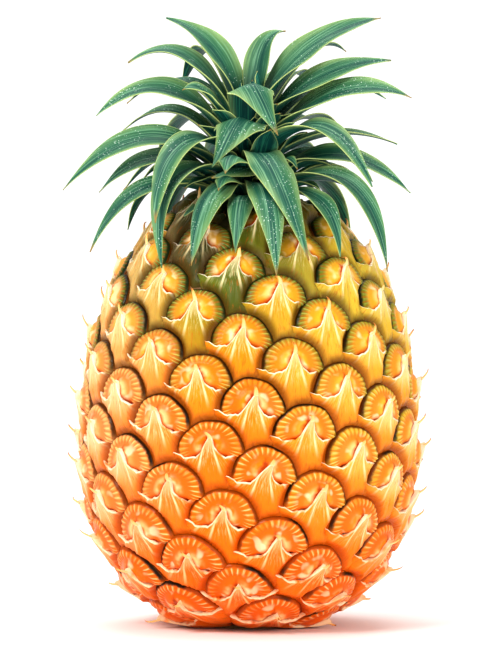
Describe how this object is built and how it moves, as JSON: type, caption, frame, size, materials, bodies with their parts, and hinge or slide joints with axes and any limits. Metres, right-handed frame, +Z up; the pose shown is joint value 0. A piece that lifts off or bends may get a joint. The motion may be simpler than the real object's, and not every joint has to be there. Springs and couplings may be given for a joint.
{
  "type": "pineapple",
  "caption": "Whole pineapple standing upright: a barrel-shaped fruit with spiral rows of domed, thorn-tipped eyes under a crown of arching leaves.",
  "frame": {"origin": "centre of the stalk's flat cut face, which the fruit stands on", "axes": "+Z up along the fruit's axis to the crown, -Y to the side that the picture shows, +X to that side's right"},
  "size_m": [0.1396, 0.1369, 0.2316],
  "materials": {
    "fruit_skin": "waxy, glossy",
    "stalk_cut": "dry, fibrous",
    "stem_skin": "matt",
    "leaf_skin": "waxy, satin"
  },
  "bodies": {
    "root": {"fruit": "fruit_skin", "stalk_stub": "stalk_cut", "crown_stem": "stem_skin", "crown_leaf_01": "leaf_skin", "crown_leaf_02": "leaf_skin", "crown_leaf_03": "leaf_skin", "crown_leaf_04": "leaf_skin", "crown_leaf_05": "leaf_skin", "crown_leaf_06": "leaf_skin", "crown_leaf_07": "leaf_skin", "crown_leaf_08": "leaf_skin", "crown_leaf_09": "leaf_skin", "crown_leaf_10": "leaf_skin", "crown_leaf_11": "leaf_skin", "crown_leaf_12": "leaf_skin", "crown_leaf_13": "leaf_skin", "crown_leaf_14": "leaf_skin", "crown_leaf_15": "leaf_skin", "crown_leaf_16": "leaf_skin", "crown_leaf_17": "leaf_skin", "crown_leaf_18": "leaf_skin", "crown_leaf_19": "leaf_skin", "crown_leaf_20": "leaf_skin", "crown_leaf_21": "leaf_skin", "crown_leaf_22": "leaf_skin", "crown_leaf_23": "leaf_skin", "crown_leaf_24": "leaf_skin", "crown_leaf_25": "leaf_skin", "crown_leaf_26": "leaf_skin", "crown_leaf_27": "leaf_skin", "crown_leaf_28": "leaf_skin", "crown_leaf_29": "leaf_skin", "crown_leaf_30": "leaf_skin", "crown_leaf_31": "leaf_skin", "crown_leaf_32": "leaf_skin", "crown_leaf_33": "leaf_skin", "crown_leaf_34": "leaf_skin", "crown_leaf_35": "leaf_skin", "crown_leaf_36": "leaf_skin", "crown_leaf_37": "leaf_skin", "crown_leaf_38": "leaf_skin", "crown_leaf_39": "leaf_skin", "crown_leaf_40": "leaf_skin", "crown_leaf_41": "leaf_skin", "crown_leaf_42": "leaf_skin", "crown_leaf_43": "leaf_skin", "crown_leaf_44": "leaf_skin", "crown_leaf_45": "leaf_skin", "crown_leaf_46": "leaf_skin", "crown_leaf_47": "leaf_skin"}
  },
  "joints": []
}
